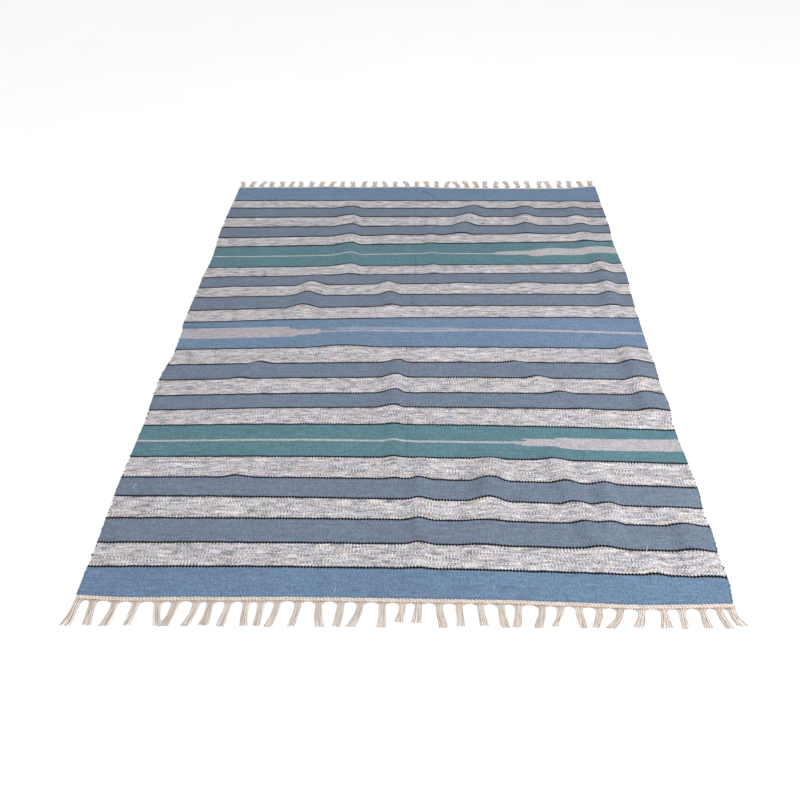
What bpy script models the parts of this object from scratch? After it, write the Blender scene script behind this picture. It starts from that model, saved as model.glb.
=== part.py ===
"""Striped cotton kilim, 1.40 m by 2.00 m, laid out flat with the ripples of a rug that was folded.

The woven field is one thin cloth. At each end a narrow twined heading carries the warp
ends, gathered into tassels of three locks each. X runs across the rug and Y along it,
from the near end to the far end. The floor is at Z 0 and the origin is the middle of
the field's underside. Sizes are in metres.
"""

from collections import namedtuple
import math
import random

import bmesh
import bpy

# Woven field
WIDTH = 1.400
LENGTH = 2.000
THICKNESS = 0.004
COLUMNS = 70
ROWS = 40

# Twined heading and fringe
GAP = 0.0003
HEADING_DEPTH = 0.0095
TASSELS = 35
FIRST_ROOT = -0.696
LAST_ROOT = 0.690
LOCKS = (-1, 0, 1)
LOCK_PITCH = 0.0041
LOCK_WIDTH = 0.0036
TIP_WIDTH = 0.0040
ROOT_HEIGHT = 0.0045
TIP_HEIGHT = 0.0028
LOCK_STATIONS = (0.0, 0.4, 1.0)
TIP_WIDTHS = (0.013, 0.017)
LEAN = 0.007
ROOT_SWAY = 0.003
LENGTH_SWAY = 0.003
LEAST_TIP_SPACE = 0.020
MILLIMETRE = 0.001

# A soft ridge along the cloth: its two ends, how far it falls off to each side, its height.
# Each rises from the floor over RIPPLE_EASE at its two ends.
Ripple = namedtuple("Ripple", "near_x near_y far_x far_y left right height")
RIPPLES = (
    Ripple(0.63, 0.09, 0.63, 0.50, 0.045, 0.045, 0.013),
    Ripple(0.61, 0.50, 0.59, 0.90, 0.045, 0.045, 0.009),
    Ripple(0.65, -0.43, 0.63, -0.02, 0.045, 0.080, 0.014),
    Ripple(0.15, 0.56, 0.24, 0.90, 0.058, 0.058, 0.015),
    Ripple(0.40, 0.58, 0.415, 0.90, 0.050, 0.050, 0.012),
    Ripple(-0.205, 0.28, -0.24, 0.90, 0.085, 0.035, 0.011),
    Ripple(-0.12, 0.50, -0.04, 0.70, 0.070, 0.070, 0.004),
    Ripple(0.07, 0.29, 0.05, 0.74, 0.035, 0.035, 0.004),
    Ripple(0.16, 0.20, 0.16, 0.36, 0.060, 0.060, 0.003),
    Ripple(0.38, 0.20, 0.38, 0.36, 0.060, 0.060, 0.005),
    Ripple(-0.355, 0.05, -0.325, 0.35, 0.060, 0.060, 0.017),
    Ripple(-0.06, 0.08, -0.09, 0.35, 0.045, 0.045, 0.013),
    Ripple(-0.60, 0.20, -0.60, 0.36, 0.050, 0.050, 0.004),
    Ripple(-0.20, -0.17, -0.20, 0.00, 0.130, 0.130, 0.009),
    Ripple(-0.52, -0.29, -0.385, -0.09, 0.040, 0.040, 0.010),
    Ripple(-0.04, -0.43, -0.03, -0.09, 0.060, 0.030, 0.015),
    Ripple(-0.03, -0.71, -0.04, -0.36, 0.035, 0.035, 0.006),
    Ripple(0.50, -0.40, 0.245, -0.09, 0.045, 0.045, 0.009),
    Ripple(0.03, -0.96, 0.03, -0.53, 0.030, 0.045, 0.010),
    Ripple(0.20, -0.78, 0.21, -0.52, 0.055, 0.055, 0.015),
    Ripple(0.175, -0.92, 0.20, -0.60, 0.070, 0.070, 0.006),
    Ripple(0.455, -0.93, 0.35, -0.50, 0.040, 0.050, 0.011),
    Ripple(0.470, -0.90, 0.485, -0.57, 0.040, 0.040, 0.011),
    Ripple(0.645, -0.93, 0.635, -0.70, 0.045, 0.080, 0.011),
    Ripple(0.55, -0.955, 0.55, -0.86, 0.035, 0.035, 0.010),
    Ripple(-0.42, -0.71, -0.42, -0.56, 0.050, 0.050, 0.007),
    Ripple(0.677, -0.96, 0.677, -0.85, 0.050, 0.035, 0.009),
)
RIPPLE_EASE = 0.10

# How far an edge stands out from straight, at places along it
Waver = namedtuple("Waver", "at out")
LEFT_EDGE = (
    Waver(-1.00, 0.0035),
    Waver(-0.87, 0.0035),
    Waver(-0.65, 0.0085),
    Waver(-0.45, 0.0055),
    Waver(-0.25, 0.0125),
    Waver(-0.09, 0.0),
    Waver(-0.01, 0.0015),
    Waver(0.04, 0.0085),
    Waver(0.32, 0.0055),
    Waver(0.43, 0.0),
    Waver(0.66, 0.0085),
    Waver(1.00, 0.0020),
)
RIGHT_EDGE = (
    Waver(-1.00, -0.0035),
    Waver(-0.94, 0.0025),
    Waver(-0.88, -0.0015),
    Waver(-0.80, 0.0020),
    Waver(-0.75, -0.0015),
    Waver(-0.66, 0.0040),
    Waver(-0.45, -0.0040),
    Waver(-0.34, 0.0015),
    Waver(-0.27, -0.0035),
    Waver(-0.16, 0.0005),
    Waver(-0.08, -0.0025),
    Waver(0.13, -0.0005),
    Waver(0.33, 0.0075),
    Waver(0.55, -0.0010),
    Waver(0.66, 0.0045),
    Waver(1.00, 0.0025),
)
NEAR_EDGE = (
    Waver(-0.70, -0.0020),
    Waver(-0.60, 0.0020),
    Waver(-0.43, 0.0010),
    Waver(-0.22, -0.0030),
    Waver(0.21, -0.0020),
    Waver(0.335, 0.0020),
    Waver(0.50, 0.0060),
    Waver(0.70, 0.0),
)
FAR_EDGE = (
    Waver(-0.70, -0.0030),
    Waver(-0.46, -0.0015),
    Waver(-0.35, 0.0020),
    Waver(-0.26, -0.0040),
    Waver(0.014, -0.0020),
    Waver(0.10, -0.0120),
    Waver(0.25, -0.0155),
    Waver(0.41, -0.0180),
    Waver(0.57, -0.0170),
    Waver(0.70, 0.0),
)

# The tassels at the near end as they lie, from left to right, in millimetres: where each
# leaves the heading, how far its tip leans, how wide its tip is, and how far short it stops
Lay = namedtuple("Lay", "root lean wide short")
NEAR_LAYS = (
    Lay(-696, -10, 15, 0), Lay(-663, 5, 17, 1), Lay(-615, -8, 15, 0), Lay(-569, -6, 13, 2),
    Lay(-521, 10, 14, 0), Lay(-485, -10, 13, 1), Lay(-440, -12, 14, 0), Lay(-408, -7, 13, 3),
    Lay(-371, -7, 13, 0), Lay(-332, 3, 14, 1), Lay(-301, -1, 13, 2), Lay(-266, -11, 13, 0),
    Lay(-222, -7, 13, 1), Lay(-178, 9, 18, 0), Lay(-131, -4, 14, 1), Lay(-88, -17, 20, 0),
    Lay(-41, -1, 16, 0), Lay(0, -3, 14, 12), Lay(36, -5, 15, 11), Lay(80, 8, 17, 0),
    Lay(122, 0, 14, 3), Lay(166, 6, 14, 5), Lay(208, 11, 16, 0), Lay(246, -8, 13, 2),
    Lay(294, -8, 18, 0), Lay(334, -15, 13, 4), Lay(373, 1, 14, 0), Lay(415, -13, 14, 1),
    Lay(458, -26, 17, 0), Lay(502, -13, 20, 2), Lay(549, -4, 24, 0), Lay(587, -2, 14, 0),
    Lay(629, 5, 16, 1), Lay(665, 9, 16, 0), Lay(690, 14, 17, 3),
)

# Where the tassels bunch along the far end, as shifts from even spacing
Drift = namedtuple("Drift", "at out")
FAR_DRIFT = (Drift(0, 0.0), Drift(8, -0.008), Drift(17, 0.006), Drift(25, -0.006), Drift(34, 0.0))

# The fringe is trimmed along a straight line, given at the two sides of the rug
End = namedtuple("End", "name side edge lays trim_left trim_right seed")
ENDS = (
    End("fringe_near", -1, NEAR_EDGE, NEAR_LAYS, 1.078, 1.061, 5),
    End("fringe_far", 1, FAR_EDGE, None, 1.062, 1.060, 11),
)

STRIPES_SEEN_TOGETHER = (0.30, 0.34, 0.40)
NATURAL_COTTON = (0.76, 0.66, 0.55)
CLOTH_ROUGHNESS = 0.95


def clear_scene():
    for obj in list(bpy.data.objects):
        bpy.data.objects.remove(obj, do_unlink=True)


def lerp(first, last, share):
    return first + (last - first) * share


def eased(share):
    """A rise from 0 to 1 that is level at both ends."""
    share = min(max(share, 0.0), 1.0)
    return share * share * (3.0 - 2.0 * share)


def read_along(table, at):
    """The out value of a table of at and out rows, eased from row to row."""
    if at <= table[0].at:
        return table[0].out
    for first, last in zip(table, table[1:]):
        if at <= last.at:
            return lerp(first.out, last.out, eased((at - first.at) / (last.at - first.at)))
    return table[-1].out


def ripple_lift(ripple, x, y):
    length = ripple.far_y - ripple.near_y
    along = (y - ripple.near_y) / length
    if not 0.0 < along < 1.0:
        return 0.0
    from_crest = x - lerp(ripple.near_x, ripple.far_x, along)
    across = from_crest / (ripple.right if from_crest > 0.0 else -ripple.left)
    if across >= 1.0:
        return 0.0
    from_end = length * min(along, 1.0 - along)
    fade = eased(from_end / min(RIPPLE_EASE, length / 2))
    return ripple.height * fade * 0.5 * (1.0 + math.cos(math.pi * across))


def cloth_point(across, along):
    """A point of the field's underside: across from left to right and along from near to far, 0 to 1."""
    straight_y = (along - 0.5) * LENGTH
    left = -WIDTH / 2 - read_along(LEFT_EDGE, straight_y)
    right = WIDTH / 2 + read_along(RIGHT_EDGE, straight_y)
    x = lerp(left, right, across)
    near = -LENGTH / 2 - read_along(NEAR_EDGE, x)
    far = LENGTH / 2 + read_along(FAR_EDGE, x)
    y = lerp(near, far, along)
    return x, y, sum(ripple_lift(ripple, x, y) for ripple in RIPPLES)


def cotton(name, colour):
    material = bpy.data.materials.new(name)
    material.use_nodes = True
    shader = material.node_tree.nodes["Principled BSDF"]
    shader.inputs["Base Color"].default_value = (*colour, 1.0)
    shader.inputs["Roughness"].default_value = CLOTH_ROUGHNESS
    shader.inputs["Metallic"].default_value = 0.0
    return material


def add_to(collection, obj):
    for other in list(obj.users_collection):
        other.objects.unlink(obj)
    collection.objects.link(obj)


def make_field(collection):
    """The cloth: a grid laid on the ripples, thickened upwards."""
    bpy.ops.mesh.primitive_grid_add(x_subdivisions=COLUMNS, y_subdivisions=ROWS, size=1.0)
    field = bpy.context.object
    field.name = "field"
    for vertex in field.data.vertices:
        vertex.co = cloth_point(vertex.co.x + 0.5, vertex.co.y + 0.5)
    body = field.modifiers.new("thickness", "SOLIDIFY")
    body.thickness = THICKNESS
    body.offset = 1.0
    field.data.shade_smooth()
    field.data.materials.append(cotton("field cotton", STRIPES_SEEN_TOGETHER))
    add_to(collection, field)


def drawn_lays(rng):
    """Tassels by rule: evenly spaced but for their bunching, each leaning a little."""
    even = (LAST_ROOT - FIRST_ROOT) / (TASSELS - 1)
    lays = []
    last_tip = -math.inf
    for number in range(TASSELS):
        sway = 0.0 if number in (0, TASSELS - 1) else rng.uniform(-ROOT_SWAY, ROOT_SWAY)
        root = FIRST_ROOT + number * even + read_along(FAR_DRIFT, number) + sway
        tip = max(root + rng.uniform(-LEAN, LEAN), last_tip + LEAST_TIP_SPACE)
        lays.append(Lay(root, tip - root, rng.uniform(*TIP_WIDTHS), rng.uniform(0.0, LENGTH_SWAY)))
        last_tip = tip
    return lays


def tassel_lays(end):
    """The tassels of one end in metres."""
    if end.lays is None:
        return drawn_lays(random.Random(end.seed))
    return [Lay(*(MILLIMETRE * size for size in lay)) for lay in end.lays]


def heading_rim(end, x):
    """How far from the rug's middle the heading's outer side lies."""
    return LENGTH / 2 + read_along(end.edge, x) + HEADING_DEPTH


def lock_line(end, root, tip, place, spread, reach):
    """A lock in plan: its left and right side at each station from the heading to the tip."""
    line = []
    root_x = root + place * LOCK_PITCH
    rim = heading_rim(end, root_x)
    for share in LOCK_STATIONS:
        middle = lerp(root, tip, share * share) + place * lerp(LOCK_PITCH, spread, share)
        half = lerp(LOCK_WIDTH, TIP_WIDTH, share) / 2
        y = end.side * lerp(rim, reach, share)
        line.append(((middle - half, y, 0.0), (middle + half, y, 0.0)))
    return line


def lock_lines(end):
    """All the locks of one end, from left to right."""
    lines = []
    for lay in tassel_lays(end):
        tip = lay.root + lay.lean
        spread = (lay.wide - TIP_WIDTH) / 2
        reach = lerp(end.trim_left, end.trim_right, tip / WIDTH + 0.5) - lay.short
        for place in LOCKS:
            lines.append(lock_line(end, lay.root, tip, place, spread, reach))
    return lines


def grow_lock(plan, root_edge, stations):
    """Extrudes a lock from its root on the heading's outer side, station by station."""
    edge = root_edge
    for left, right in stations:
        made = bmesh.ops.extrude_edge_only(plan, edges=[edge])["geom"]
        ends = [item for item in made if isinstance(item, bmesh.types.BMVert)]
        ends.sort(key=lambda vertex: vertex.co.x)
        ends[0].co = left
        ends[1].co = right
        edge = plan.edges.get(ends)


def fringe_plan(end):
    """The heading strip beside the cloth as one flat face, with the locks grown from it."""
    plan = bmesh.new()
    along = 0.0 if end.side < 0 else 1.0
    inner = []
    for column in range(COLUMNS + 1):
        x, y, _ = cloth_point(column / COLUMNS, along)
        inner.append(plan.verts.new((x, y + end.side * GAP, 0.0)))
    lines = lock_lines(end)
    roots = [[plan.verts.new(point) for point in line[0]] for line in lines]
    corners = [
        plan.verts.new((corner.co.x, end.side * heading_rim(end, corner.co.x), 0.0))
        for corner in (inner[0], inner[-1])
    ]
    outer = [corners[0]] + [vertex for pair in roots for vertex in pair] + [corners[1]]
    plan.faces.new(inner + outer[::-1])
    for pair, line in zip(roots, lines):
        grow_lock(plan, plan.edges.get(pair), line[1:])
    for face in plan.faces:
        face.normal_update()
        if face.normal.z < 0.0:
            face.normal_flip()
    mesh = bpy.data.meshes.new(end.name)
    plan.to_mesh(mesh)
    plan.free()
    return mesh


def make_fringe(collection, end, material):
    """The heading and its locks, flat on the floor and thinner towards the tips."""
    fringe = bpy.data.objects.new(end.name, fringe_plan(end))
    collection.objects.link(fringe)
    height = fringe.vertex_groups.new(name="height")
    for vertex in fringe.data.vertices:
        rim = heading_rim(end, vertex.co.x)
        reach = eased((abs(vertex.co.y) - rim) / (end.trim_left - rim))
        height.add([vertex.index], lerp(ROOT_HEIGHT, TIP_HEIGHT, reach) / ROOT_HEIGHT, "REPLACE")
    body = fringe.modifiers.new("thickness", "SOLIDIFY")
    body.thickness = ROOT_HEIGHT
    body.offset = 1.0
    body.vertex_group = height.name
    fringe.data.materials.append(material)


def main():
    clear_scene()
    kilim = bpy.data.collections.new("kilim")
    bpy.context.scene.collection.children.link(kilim)
    make_field(kilim)
    natural = cotton("fringe cotton", NATURAL_COTTON)
    for end in ENDS:
        make_fringe(kilim, end, natural)


main()
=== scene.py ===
"""Striped cotton kilim laid out on a pale floor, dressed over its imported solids.

The cloth is one thin sheet on the folds of its solid. Its material weaves it in woven
coordinates: u across from the left selvedge and v along the warp, both in metres, with v 0
in the middle. The selvedge turns, the twined headings, the tassels and the loose threads
are pieces of their own. X runs across the rug, Y along it and Z up, in metres.
"""

from collections import namedtuple
import math
import random

import bpy
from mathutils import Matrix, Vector, noise


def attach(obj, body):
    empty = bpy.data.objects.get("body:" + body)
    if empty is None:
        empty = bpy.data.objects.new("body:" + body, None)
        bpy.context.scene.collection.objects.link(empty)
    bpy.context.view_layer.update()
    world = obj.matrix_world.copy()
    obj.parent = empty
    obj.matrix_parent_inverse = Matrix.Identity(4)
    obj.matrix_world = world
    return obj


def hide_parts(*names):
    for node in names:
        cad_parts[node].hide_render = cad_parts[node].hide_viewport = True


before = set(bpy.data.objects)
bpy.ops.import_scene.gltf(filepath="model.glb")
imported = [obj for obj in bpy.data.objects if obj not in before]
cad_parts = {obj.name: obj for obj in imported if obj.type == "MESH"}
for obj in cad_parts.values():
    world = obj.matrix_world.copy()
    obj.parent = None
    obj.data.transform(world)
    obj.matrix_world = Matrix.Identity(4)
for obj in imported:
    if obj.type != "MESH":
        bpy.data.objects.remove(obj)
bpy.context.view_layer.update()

bl_info = {
    "name": "Striped kilim",
    "version": (1, 0, 0),
    "blender": (4, 5, 0),
    "location": "3D View > Sidebar > Kilim",
    "description": "Weaves a striped cotton kilim with its selvedges, headings and tassels",
    "category": "Add Mesh",
}

WEAVE_MAP = "weave"


def rows_of(kind, *rows):
    """A table with a name for each column."""
    return tuple(kind(*row) for row in rows)


# A soft ridge along the cloth: its two ends, how far it falls off to each side, its height.
# Each rises from the floor over RIPPLE_EASE at its two ends.
Ripple = namedtuple("Ripple", "near_x near_y far_x far_y left right height")
RIPPLES = rows_of(
    Ripple,
    (0.63, 0.09, 0.63, 0.50, 0.045, 0.045, 0.013), (0.61, 0.50, 0.59, 0.90, 0.045, 0.045, 0.009),
    (0.65, -0.43, 0.63, -0.02, 0.045, 0.080, 0.014),
    (0.15, 0.56, 0.24, 0.90, 0.058, 0.058, 0.015), (0.40, 0.58, 0.415, 0.90, 0.050, 0.050, 0.012),
    (-0.205, 0.28, -0.24, 0.90, 0.085, 0.035, 0.011),
    (-0.12, 0.50, -0.04, 0.70, 0.070, 0.070, 0.004),
    (0.07, 0.29, 0.05, 0.74, 0.035, 0.035, 0.004), (0.16, 0.20, 0.16, 0.36, 0.060, 0.060, 0.003),
    (0.38, 0.20, 0.38, 0.36, 0.060, 0.060, 0.005),
    (-0.355, 0.05, -0.325, 0.35, 0.060, 0.060, 0.017),
    (-0.06, 0.08, -0.09, 0.35, 0.045, 0.045, 0.013),
    (-0.60, 0.20, -0.60, 0.36, 0.050, 0.050, 0.004),
    (-0.20, -0.17, -0.20, 0.00, 0.130, 0.130, 0.009),
    (-0.52, -0.29, -0.385, -0.09, 0.040, 0.040, 0.010),
    (-0.04, -0.43, -0.03, -0.09, 0.060, 0.030, 0.015),
    (-0.03, -0.71, -0.04, -0.36, 0.035, 0.035, 0.006),
    (0.50, -0.40, 0.245, -0.09, 0.045, 0.045, 0.009),
    (0.03, -0.96, 0.03, -0.53, 0.030, 0.045, 0.010),
    (0.20, -0.78, 0.21, -0.52, 0.055, 0.055, 0.015),
    (0.175, -0.92, 0.20, -0.60, 0.070, 0.070, 0.006),
    (0.455, -0.93, 0.35, -0.50, 0.040, 0.050, 0.011),
    (0.470, -0.90, 0.485, -0.57, 0.040, 0.040, 0.011),
    (0.645, -0.93, 0.635, -0.70, 0.045, 0.080, 0.011),
    (0.55, -0.955, 0.55, -0.86, 0.035, 0.035, 0.010),
    (-0.42, -0.71, -0.42, -0.56, 0.050, 0.050, 0.007),
    (0.677, -0.96, 0.677, -0.85, 0.050, 0.035, 0.009),
)
RIPPLE_EASE = 0.10

# Sharp little creases left by folding: a line between two ends, its half width and its height
Crease = namedtuple("Crease", "near_x near_y far_x far_y half height")
CREASES = rows_of(
    Crease,
    (0.004, -0.97, -0.003, -0.10, 0.009, 0.0026), (-0.003, -0.10, 0.006, 0.45, 0.010, 0.0014),
    (0.006, 0.45, 0.004, 0.97, 0.010, 0.0008), (0.020, 0.985, 0.092, 0.885, 0.012, 0.0030),
)
CREASE_EASE = 0.05

# How far an edge stands out from straight, at places along it
Waver = namedtuple("Waver", "at out")
LEFT_EDGE = rows_of(
    Waver,
    (-1.00, 0.0035), (-0.87, 0.0035), (-0.65, 0.0085), (-0.45, 0.0055), (-0.25, 0.0125),
    (-0.09, 0.0), (-0.01, 0.0015), (0.04, 0.0085), (0.32, 0.0055), (0.43, 0.0), (0.66, 0.0085),
    (1.00, 0.0020),
)
RIGHT_EDGE = rows_of(
    Waver,
    (-1.00, -0.0035), (-0.94, 0.0025), (-0.88, -0.0015), (-0.80, 0.0020), (-0.75, -0.0015),
    (-0.66, 0.0040), (-0.45, -0.0040), (-0.34, 0.0015), (-0.27, -0.0035), (-0.16, 0.0005),
    (-0.08, -0.0025), (0.13, -0.0005), (0.33, 0.0075), (0.55, -0.0010), (0.66, 0.0045),
    (1.00, 0.0025),
)
NEAR_EDGE = rows_of(
    Waver,
    (-0.70, 0.0005), (-0.60, 0.0045), (-0.43, 0.0010), (-0.22, -0.0026), (0.21, -0.0022),
    (0.335, 0.0012), (0.50, 0.0060), (0.70, 0.0),
)
FAR_EDGE = rows_of(
    Waver,
    (-0.70, -0.0030), (-0.46, -0.0015), (-0.35, 0.0020), (-0.26, -0.0040), (0.014, -0.0020),
    (0.10, -0.0120), (0.25, -0.0155), (0.41, -0.0180), (0.57, -0.0170), (0.70, 0.0),
)

# The top of the cloth beside a selvedge: rounded off at the edge, and raised by doubled warps
SELVEDGE = rows_of(
    Waver,
    (0.0, -0.0012), (0.0026, 0.0004), (0.0050, -0.0001), (0.0075, 0.0005), (0.0100, 0.0009),
    (0.0125, 0.0004), (0.0160, 0.0),
)

# The black pinstripes from far to near: how far each slants and bows in millimetres,
# and the weft yarn of the band on its near side
Pinstripe = namedtuple("Pinstripe", "at skew bow yarn")
FAR_YARN = "blue"
PINSTRIPES = rows_of(
    Pinstripe,
    (0.8820, -8.5, 3.9, "speckled"), (0.8176, -7.9, 1.8, "slate"), (0.7499, 2.3, 6.0, "speckled"),
    (0.6750, 10.4, 2.4, "slate"), (0.6080, 25.7, 3.1, "speckled"), (0.5409, 31.1, 0.0, "teal"),
    (0.3931, 21.6, 2.3, "speckled"), (0.3351, 24.7, 7.2, "slate"),
    (0.2752, 21.7, 13.3, "speckled"), (0.2089, 16.2, 10.5, "slate"),
    (0.1395, 22.5, 14.1, "speckled"), (0.0747, 22.2, 14.3, "blue"),
    (-0.0826, 8.3, 12.2, "speckled"), (-0.1573, 12.3, 9.5, "slate"),
    (-0.2291, 8.2, 14.5, "speckled"), (-0.2992, 11.5, 12.7, "slate"),
    (-0.3614, 6.7, 15.4, "speckled"), (-0.4321, -3.2, 13.7, "teal"),
    (-0.5593, -6.5, 10.1, "speckled"), (-0.6370, -13.5, 11.6, "slate"),
    (-0.7055, -17.1, 9.6, "speckled"), (-0.7715, -6.6, 8.6, "slate"),
    (-0.8454, -6.7, 10.6, "speckled"), (-0.9158, -7.1, 11.1, "near blue"),
)
MILLIMETRE = 0.001
# Pinstripes beyond this place have one more pick of black yarn
WIDE_PINSTRIPES_FROM = 0.50
# How far from an end the wefts begin to follow its edge
END_BLEND = 0.08

# The pale resist-dyed lines and tongues in three of the bands, and two faint streaks beside
# them: middle and half width, in woven coordinates, at places across from the left selvedge
TonguePoint = namedtuple("TonguePoint", "across middle half")
Tongue = namedtuple("Tongue", "yarn points")
TONGUES = (
    # The far tongue
    Tongue("pale far", rows_of(
        TonguePoint,
        (0.000, 0.4720, 0.0033), (0.220, 0.4680, 0.0033), (0.390, 0.4685, 0.0033),
        (0.560, 0.4720, 0.0033), (0.700, 0.4730, 0.0033), (0.989, 0.4665, 0.0033),
        (0.995, 0.4680, 0.0115), (1.100, 0.4700, 0.0135), (1.106, 0.4685, 0.0215),
        (1.135, 0.4695, 0.0230), (1.180, 0.4760, 0.0240), (1.250, 0.4725, 0.0215),
        (1.340, 0.4840, 0.0230), (1.400, 0.4750, 0.0195),
    )),
    # The middle tongue
    Tongue("pale", rows_of(
        TonguePoint,
        (0.000, 0.0085, 0.0305), (0.190, 0.0045, 0.0290), (0.338, 0.0050, 0.0276),
        (0.344, 0.0010, 0.0145), (0.414, 0.0045, 0.0150), (0.420, 0.0045, 0.0033),
        (0.544, 0.0067, 0.0036), (0.730, 0.0005, 0.0046), (0.930, 0.0062, 0.0050),
        (1.220, 0.0002, 0.0050), (1.400, -0.0060, 0.0050),
    )),
    # The faint streak
    Tongue("pale blue", rows_of(
        TonguePoint,
        (0.000, 0.0170, 0.0), (0.430, 0.0170, 0.0), (0.480, 0.0200, 0.0060),
        (0.700, 0.0150, 0.0070), (0.850, 0.0130, 0.0040), (0.880, 0.0120, 0.0),
        (1.400, 0.0120, 0.0),
    )),
    # The dark streak
    Tongue("dark blue", rows_of(
        TonguePoint,
        (0.000, 0.0420, 0.0065), (0.100, 0.0400, 0.0050), (0.170, 0.0390, 0.0),
        (1.400, 0.0390, 0.0),
    )),
    # The near tongue
    Tongue("pale near", rows_of(
        TonguePoint,
        (0.000, -0.4978, 0.0035), (0.415, -0.4965, 0.0035), (0.830, -0.4989, 0.0035),
        (0.990, -0.4968, 0.0035), (0.996, -0.4960, 0.0140), (1.096, -0.4955, 0.0140),
        (1.102, -0.4950, 0.0200), (1.135, -0.4980, 0.0213), (1.300, -0.4956, 0.0225),
        (1.400, -0.4915, 0.0227),
    )),
)

# Painted shade in thin lines along the fold creases: their two ends in woven coordinates, half
# width, depth
FoldLine = namedtuple("FoldLine", "near_u near_v far_u far_v half depth")
FOLD_LINES = rows_of(
    FoldLine,
    (0.703, -1.0, 0.703, 1.0, 0.006, 0.16), (0.792, 0.885, 0.720, 0.980, 0.009, 0.42),
)
# How soon a fold line reaches its depth from either end, and how far it sways
FOLD_END = 0.012
FOLD_SWAY = 0.004

# The yarns, as the camera sees them: 0 to 255 for red, green and blue; the brown at the end is no
# yarn but the colour of painted shade low in the fringe and the heading
YARNS = {
    "blue": (113, 137, 164), "near blue": (109, 134, 162), "slate": (115, 128, 146),
    "teal": (93, 130, 140), "speckled": (190, 187, 190), "pinstripe": (20, 17, 20),
    "pale far": (182, 180, 183), "pale": (178, 173, 178), "pale near": (183, 179, 184),
    "pale blue": (147, 160, 185), "dark blue": (99, 119, 149), "fleck": (112, 117, 127),
    "ground": (240, 232, 233), "heading": (233, 219, 208), "warp": (246, 234, 224),
    "slub": (206, 194, 196), "shade brown": (150, 106, 78),
}

# The tassels at the near end as they lie, from left to right, in millimetres: where each
# leaves the heading, how far its tip leans, how wide its tip is, and how far short it stops
Lay = namedtuple("Lay", "root lean wide short")
NEAR_LAYS = rows_of(
    Lay,
    (-696, -9, 20, 0), (-663, 5, 17, 1), (-615, -8, 15, 0), (-569, -6, 13, 2), (-521, 10, 14, 0),
    (-485, -10, 13, 1), (-440, -12, 14, 0), (-408, -7, 13, 3), (-371, -7, 13, 0),
    (-332, 3, 14, 1), (-301, -1, 13, 2), (-266, -11, 13, 0), (-222, -7, 13, 1), (-178, 9, 18, 0),
    (-131, -4, 14, 1), (-88, -17, 20, 0), (-41, -1, 16, 0), (0, -3, 14, 12), (36, -5, 15, 11),
    (80, 8, 17, 0), (122, 0, 14, 3), (166, 6, 14, 5), (208, 11, 16, 0), (246, -8, 13, 2),
    (294, -8, 18, 0), (334, -15, 13, 4), (373, 1, 14, 0), (415, -13, 14, 1), (458, -26, 17, 0),
    (502, -13, 20, 2), (549, -4, 24, 0), (587, -2, 14, 0), (629, 5, 16, 1), (665, 9, 16, 0),
    (690, 9, 19, 6),
)
# How the tassels of the far end bunch and part: which tassel, and how far it stands aside
FAR_DRIFT = rows_of(Waver, (0, 0.0), (8, -0.008), (17, 0.006), (25, -0.006), (34, 0.0))
# The two ends: the side along the rug, the edge, the tassels where they are listed, how far
# out the tips are trimmed at the left and at the right, how far the tassels curl, and a seed
End = namedtuple("End", "name side edge lays trim_left trim_right curl seed")
ENDS = rows_of(
    End,
    ("near", -1, NEAR_EDGE, NEAR_LAYS, 1.078, 1.061, 0.0015, 5),
    ("far", 1, FAR_EDGE, None, 1.062, 1.060, 0.0055, 11),
)
# What is added to an end's seed for each kind of random draw there
HEADING_SEED = 100
TASSEL_SEED = 200
CURL_SEED = 300
# The tassels that are set by rule: their first and last root, how far each root strays, how
# far a tip leans and keeps from the tip before it, the tips' widths, and how short they stop
TASSELS = 35
FIRST_ROOT = -0.696
LAST_ROOT = 0.690
ROOT_SWAY = 0.003
LEAN = 0.007
LEAST_TIP_SPACE = 0.020
TIP_WIDTHS = (0.013, 0.017)
LENGTH_SWAY = 0.003


class ClothSettings(bpy.types.PropertyGroup):
    width: bpy.props.FloatProperty(
        name="Width", description="Woven width across the rug", default=1.400, unit="LENGTH")
    length: bpy.props.FloatProperty(
        name="Length", description="Woven length without the fringe", default=2.000, unit="LENGTH")
    thickness: bpy.props.FloatProperty(
        name="Thickness", description="Thickness of the cloth", default=0.004, unit="LENGTH")
    columns: bpy.props.IntProperty(
        name="Columns", description="Mesh columns across the cloth", default=180)
    row_pitch: bpy.props.FloatProperty(
        name="Row pitch", description="Most that two mesh rows stand apart", default=0.009,
        unit="LENGTH")
    unevenness: bpy.props.FloatProperty(
        name="Unevenness", description="Height of the small waves in the cloth", default=0.0009,
        unit="LENGTH")


class WeaveSettings(bpy.types.PropertyGroup):
    rib_pitch: bpy.props.FloatProperty(
        name="Rib pitch", description="Distance from warp to warp", default=0.00365,
        unit="LENGTH")
    grain_height: bpy.props.FloatProperty(
        name="Grain height", description="Height of one weft grain along the warp",
        default=0.0039, unit="LENGTH")
    pinstripe_picks: bpy.props.IntProperty(
        name="Pinstripe picks", description="Picks of black yarn in a pinstripe", default=3)
    ply_twist: bpy.props.FloatProperty(
        name="Ply twist", description="Length of one turn of the speckled yarn's two plies",
        default=0.0079, unit="LENGTH")
    relief: bpy.props.FloatProperty(
        name="Relief", description="Height of the ribs and grains", default=0.0007, unit="LENGTH")
    turn_pitch: bpy.props.FloatProperty(
        name="Turn pitch", description="Distance from weft turn to weft turn on a selvedge",
        default=0.0034, unit="LENGTH")


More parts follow.
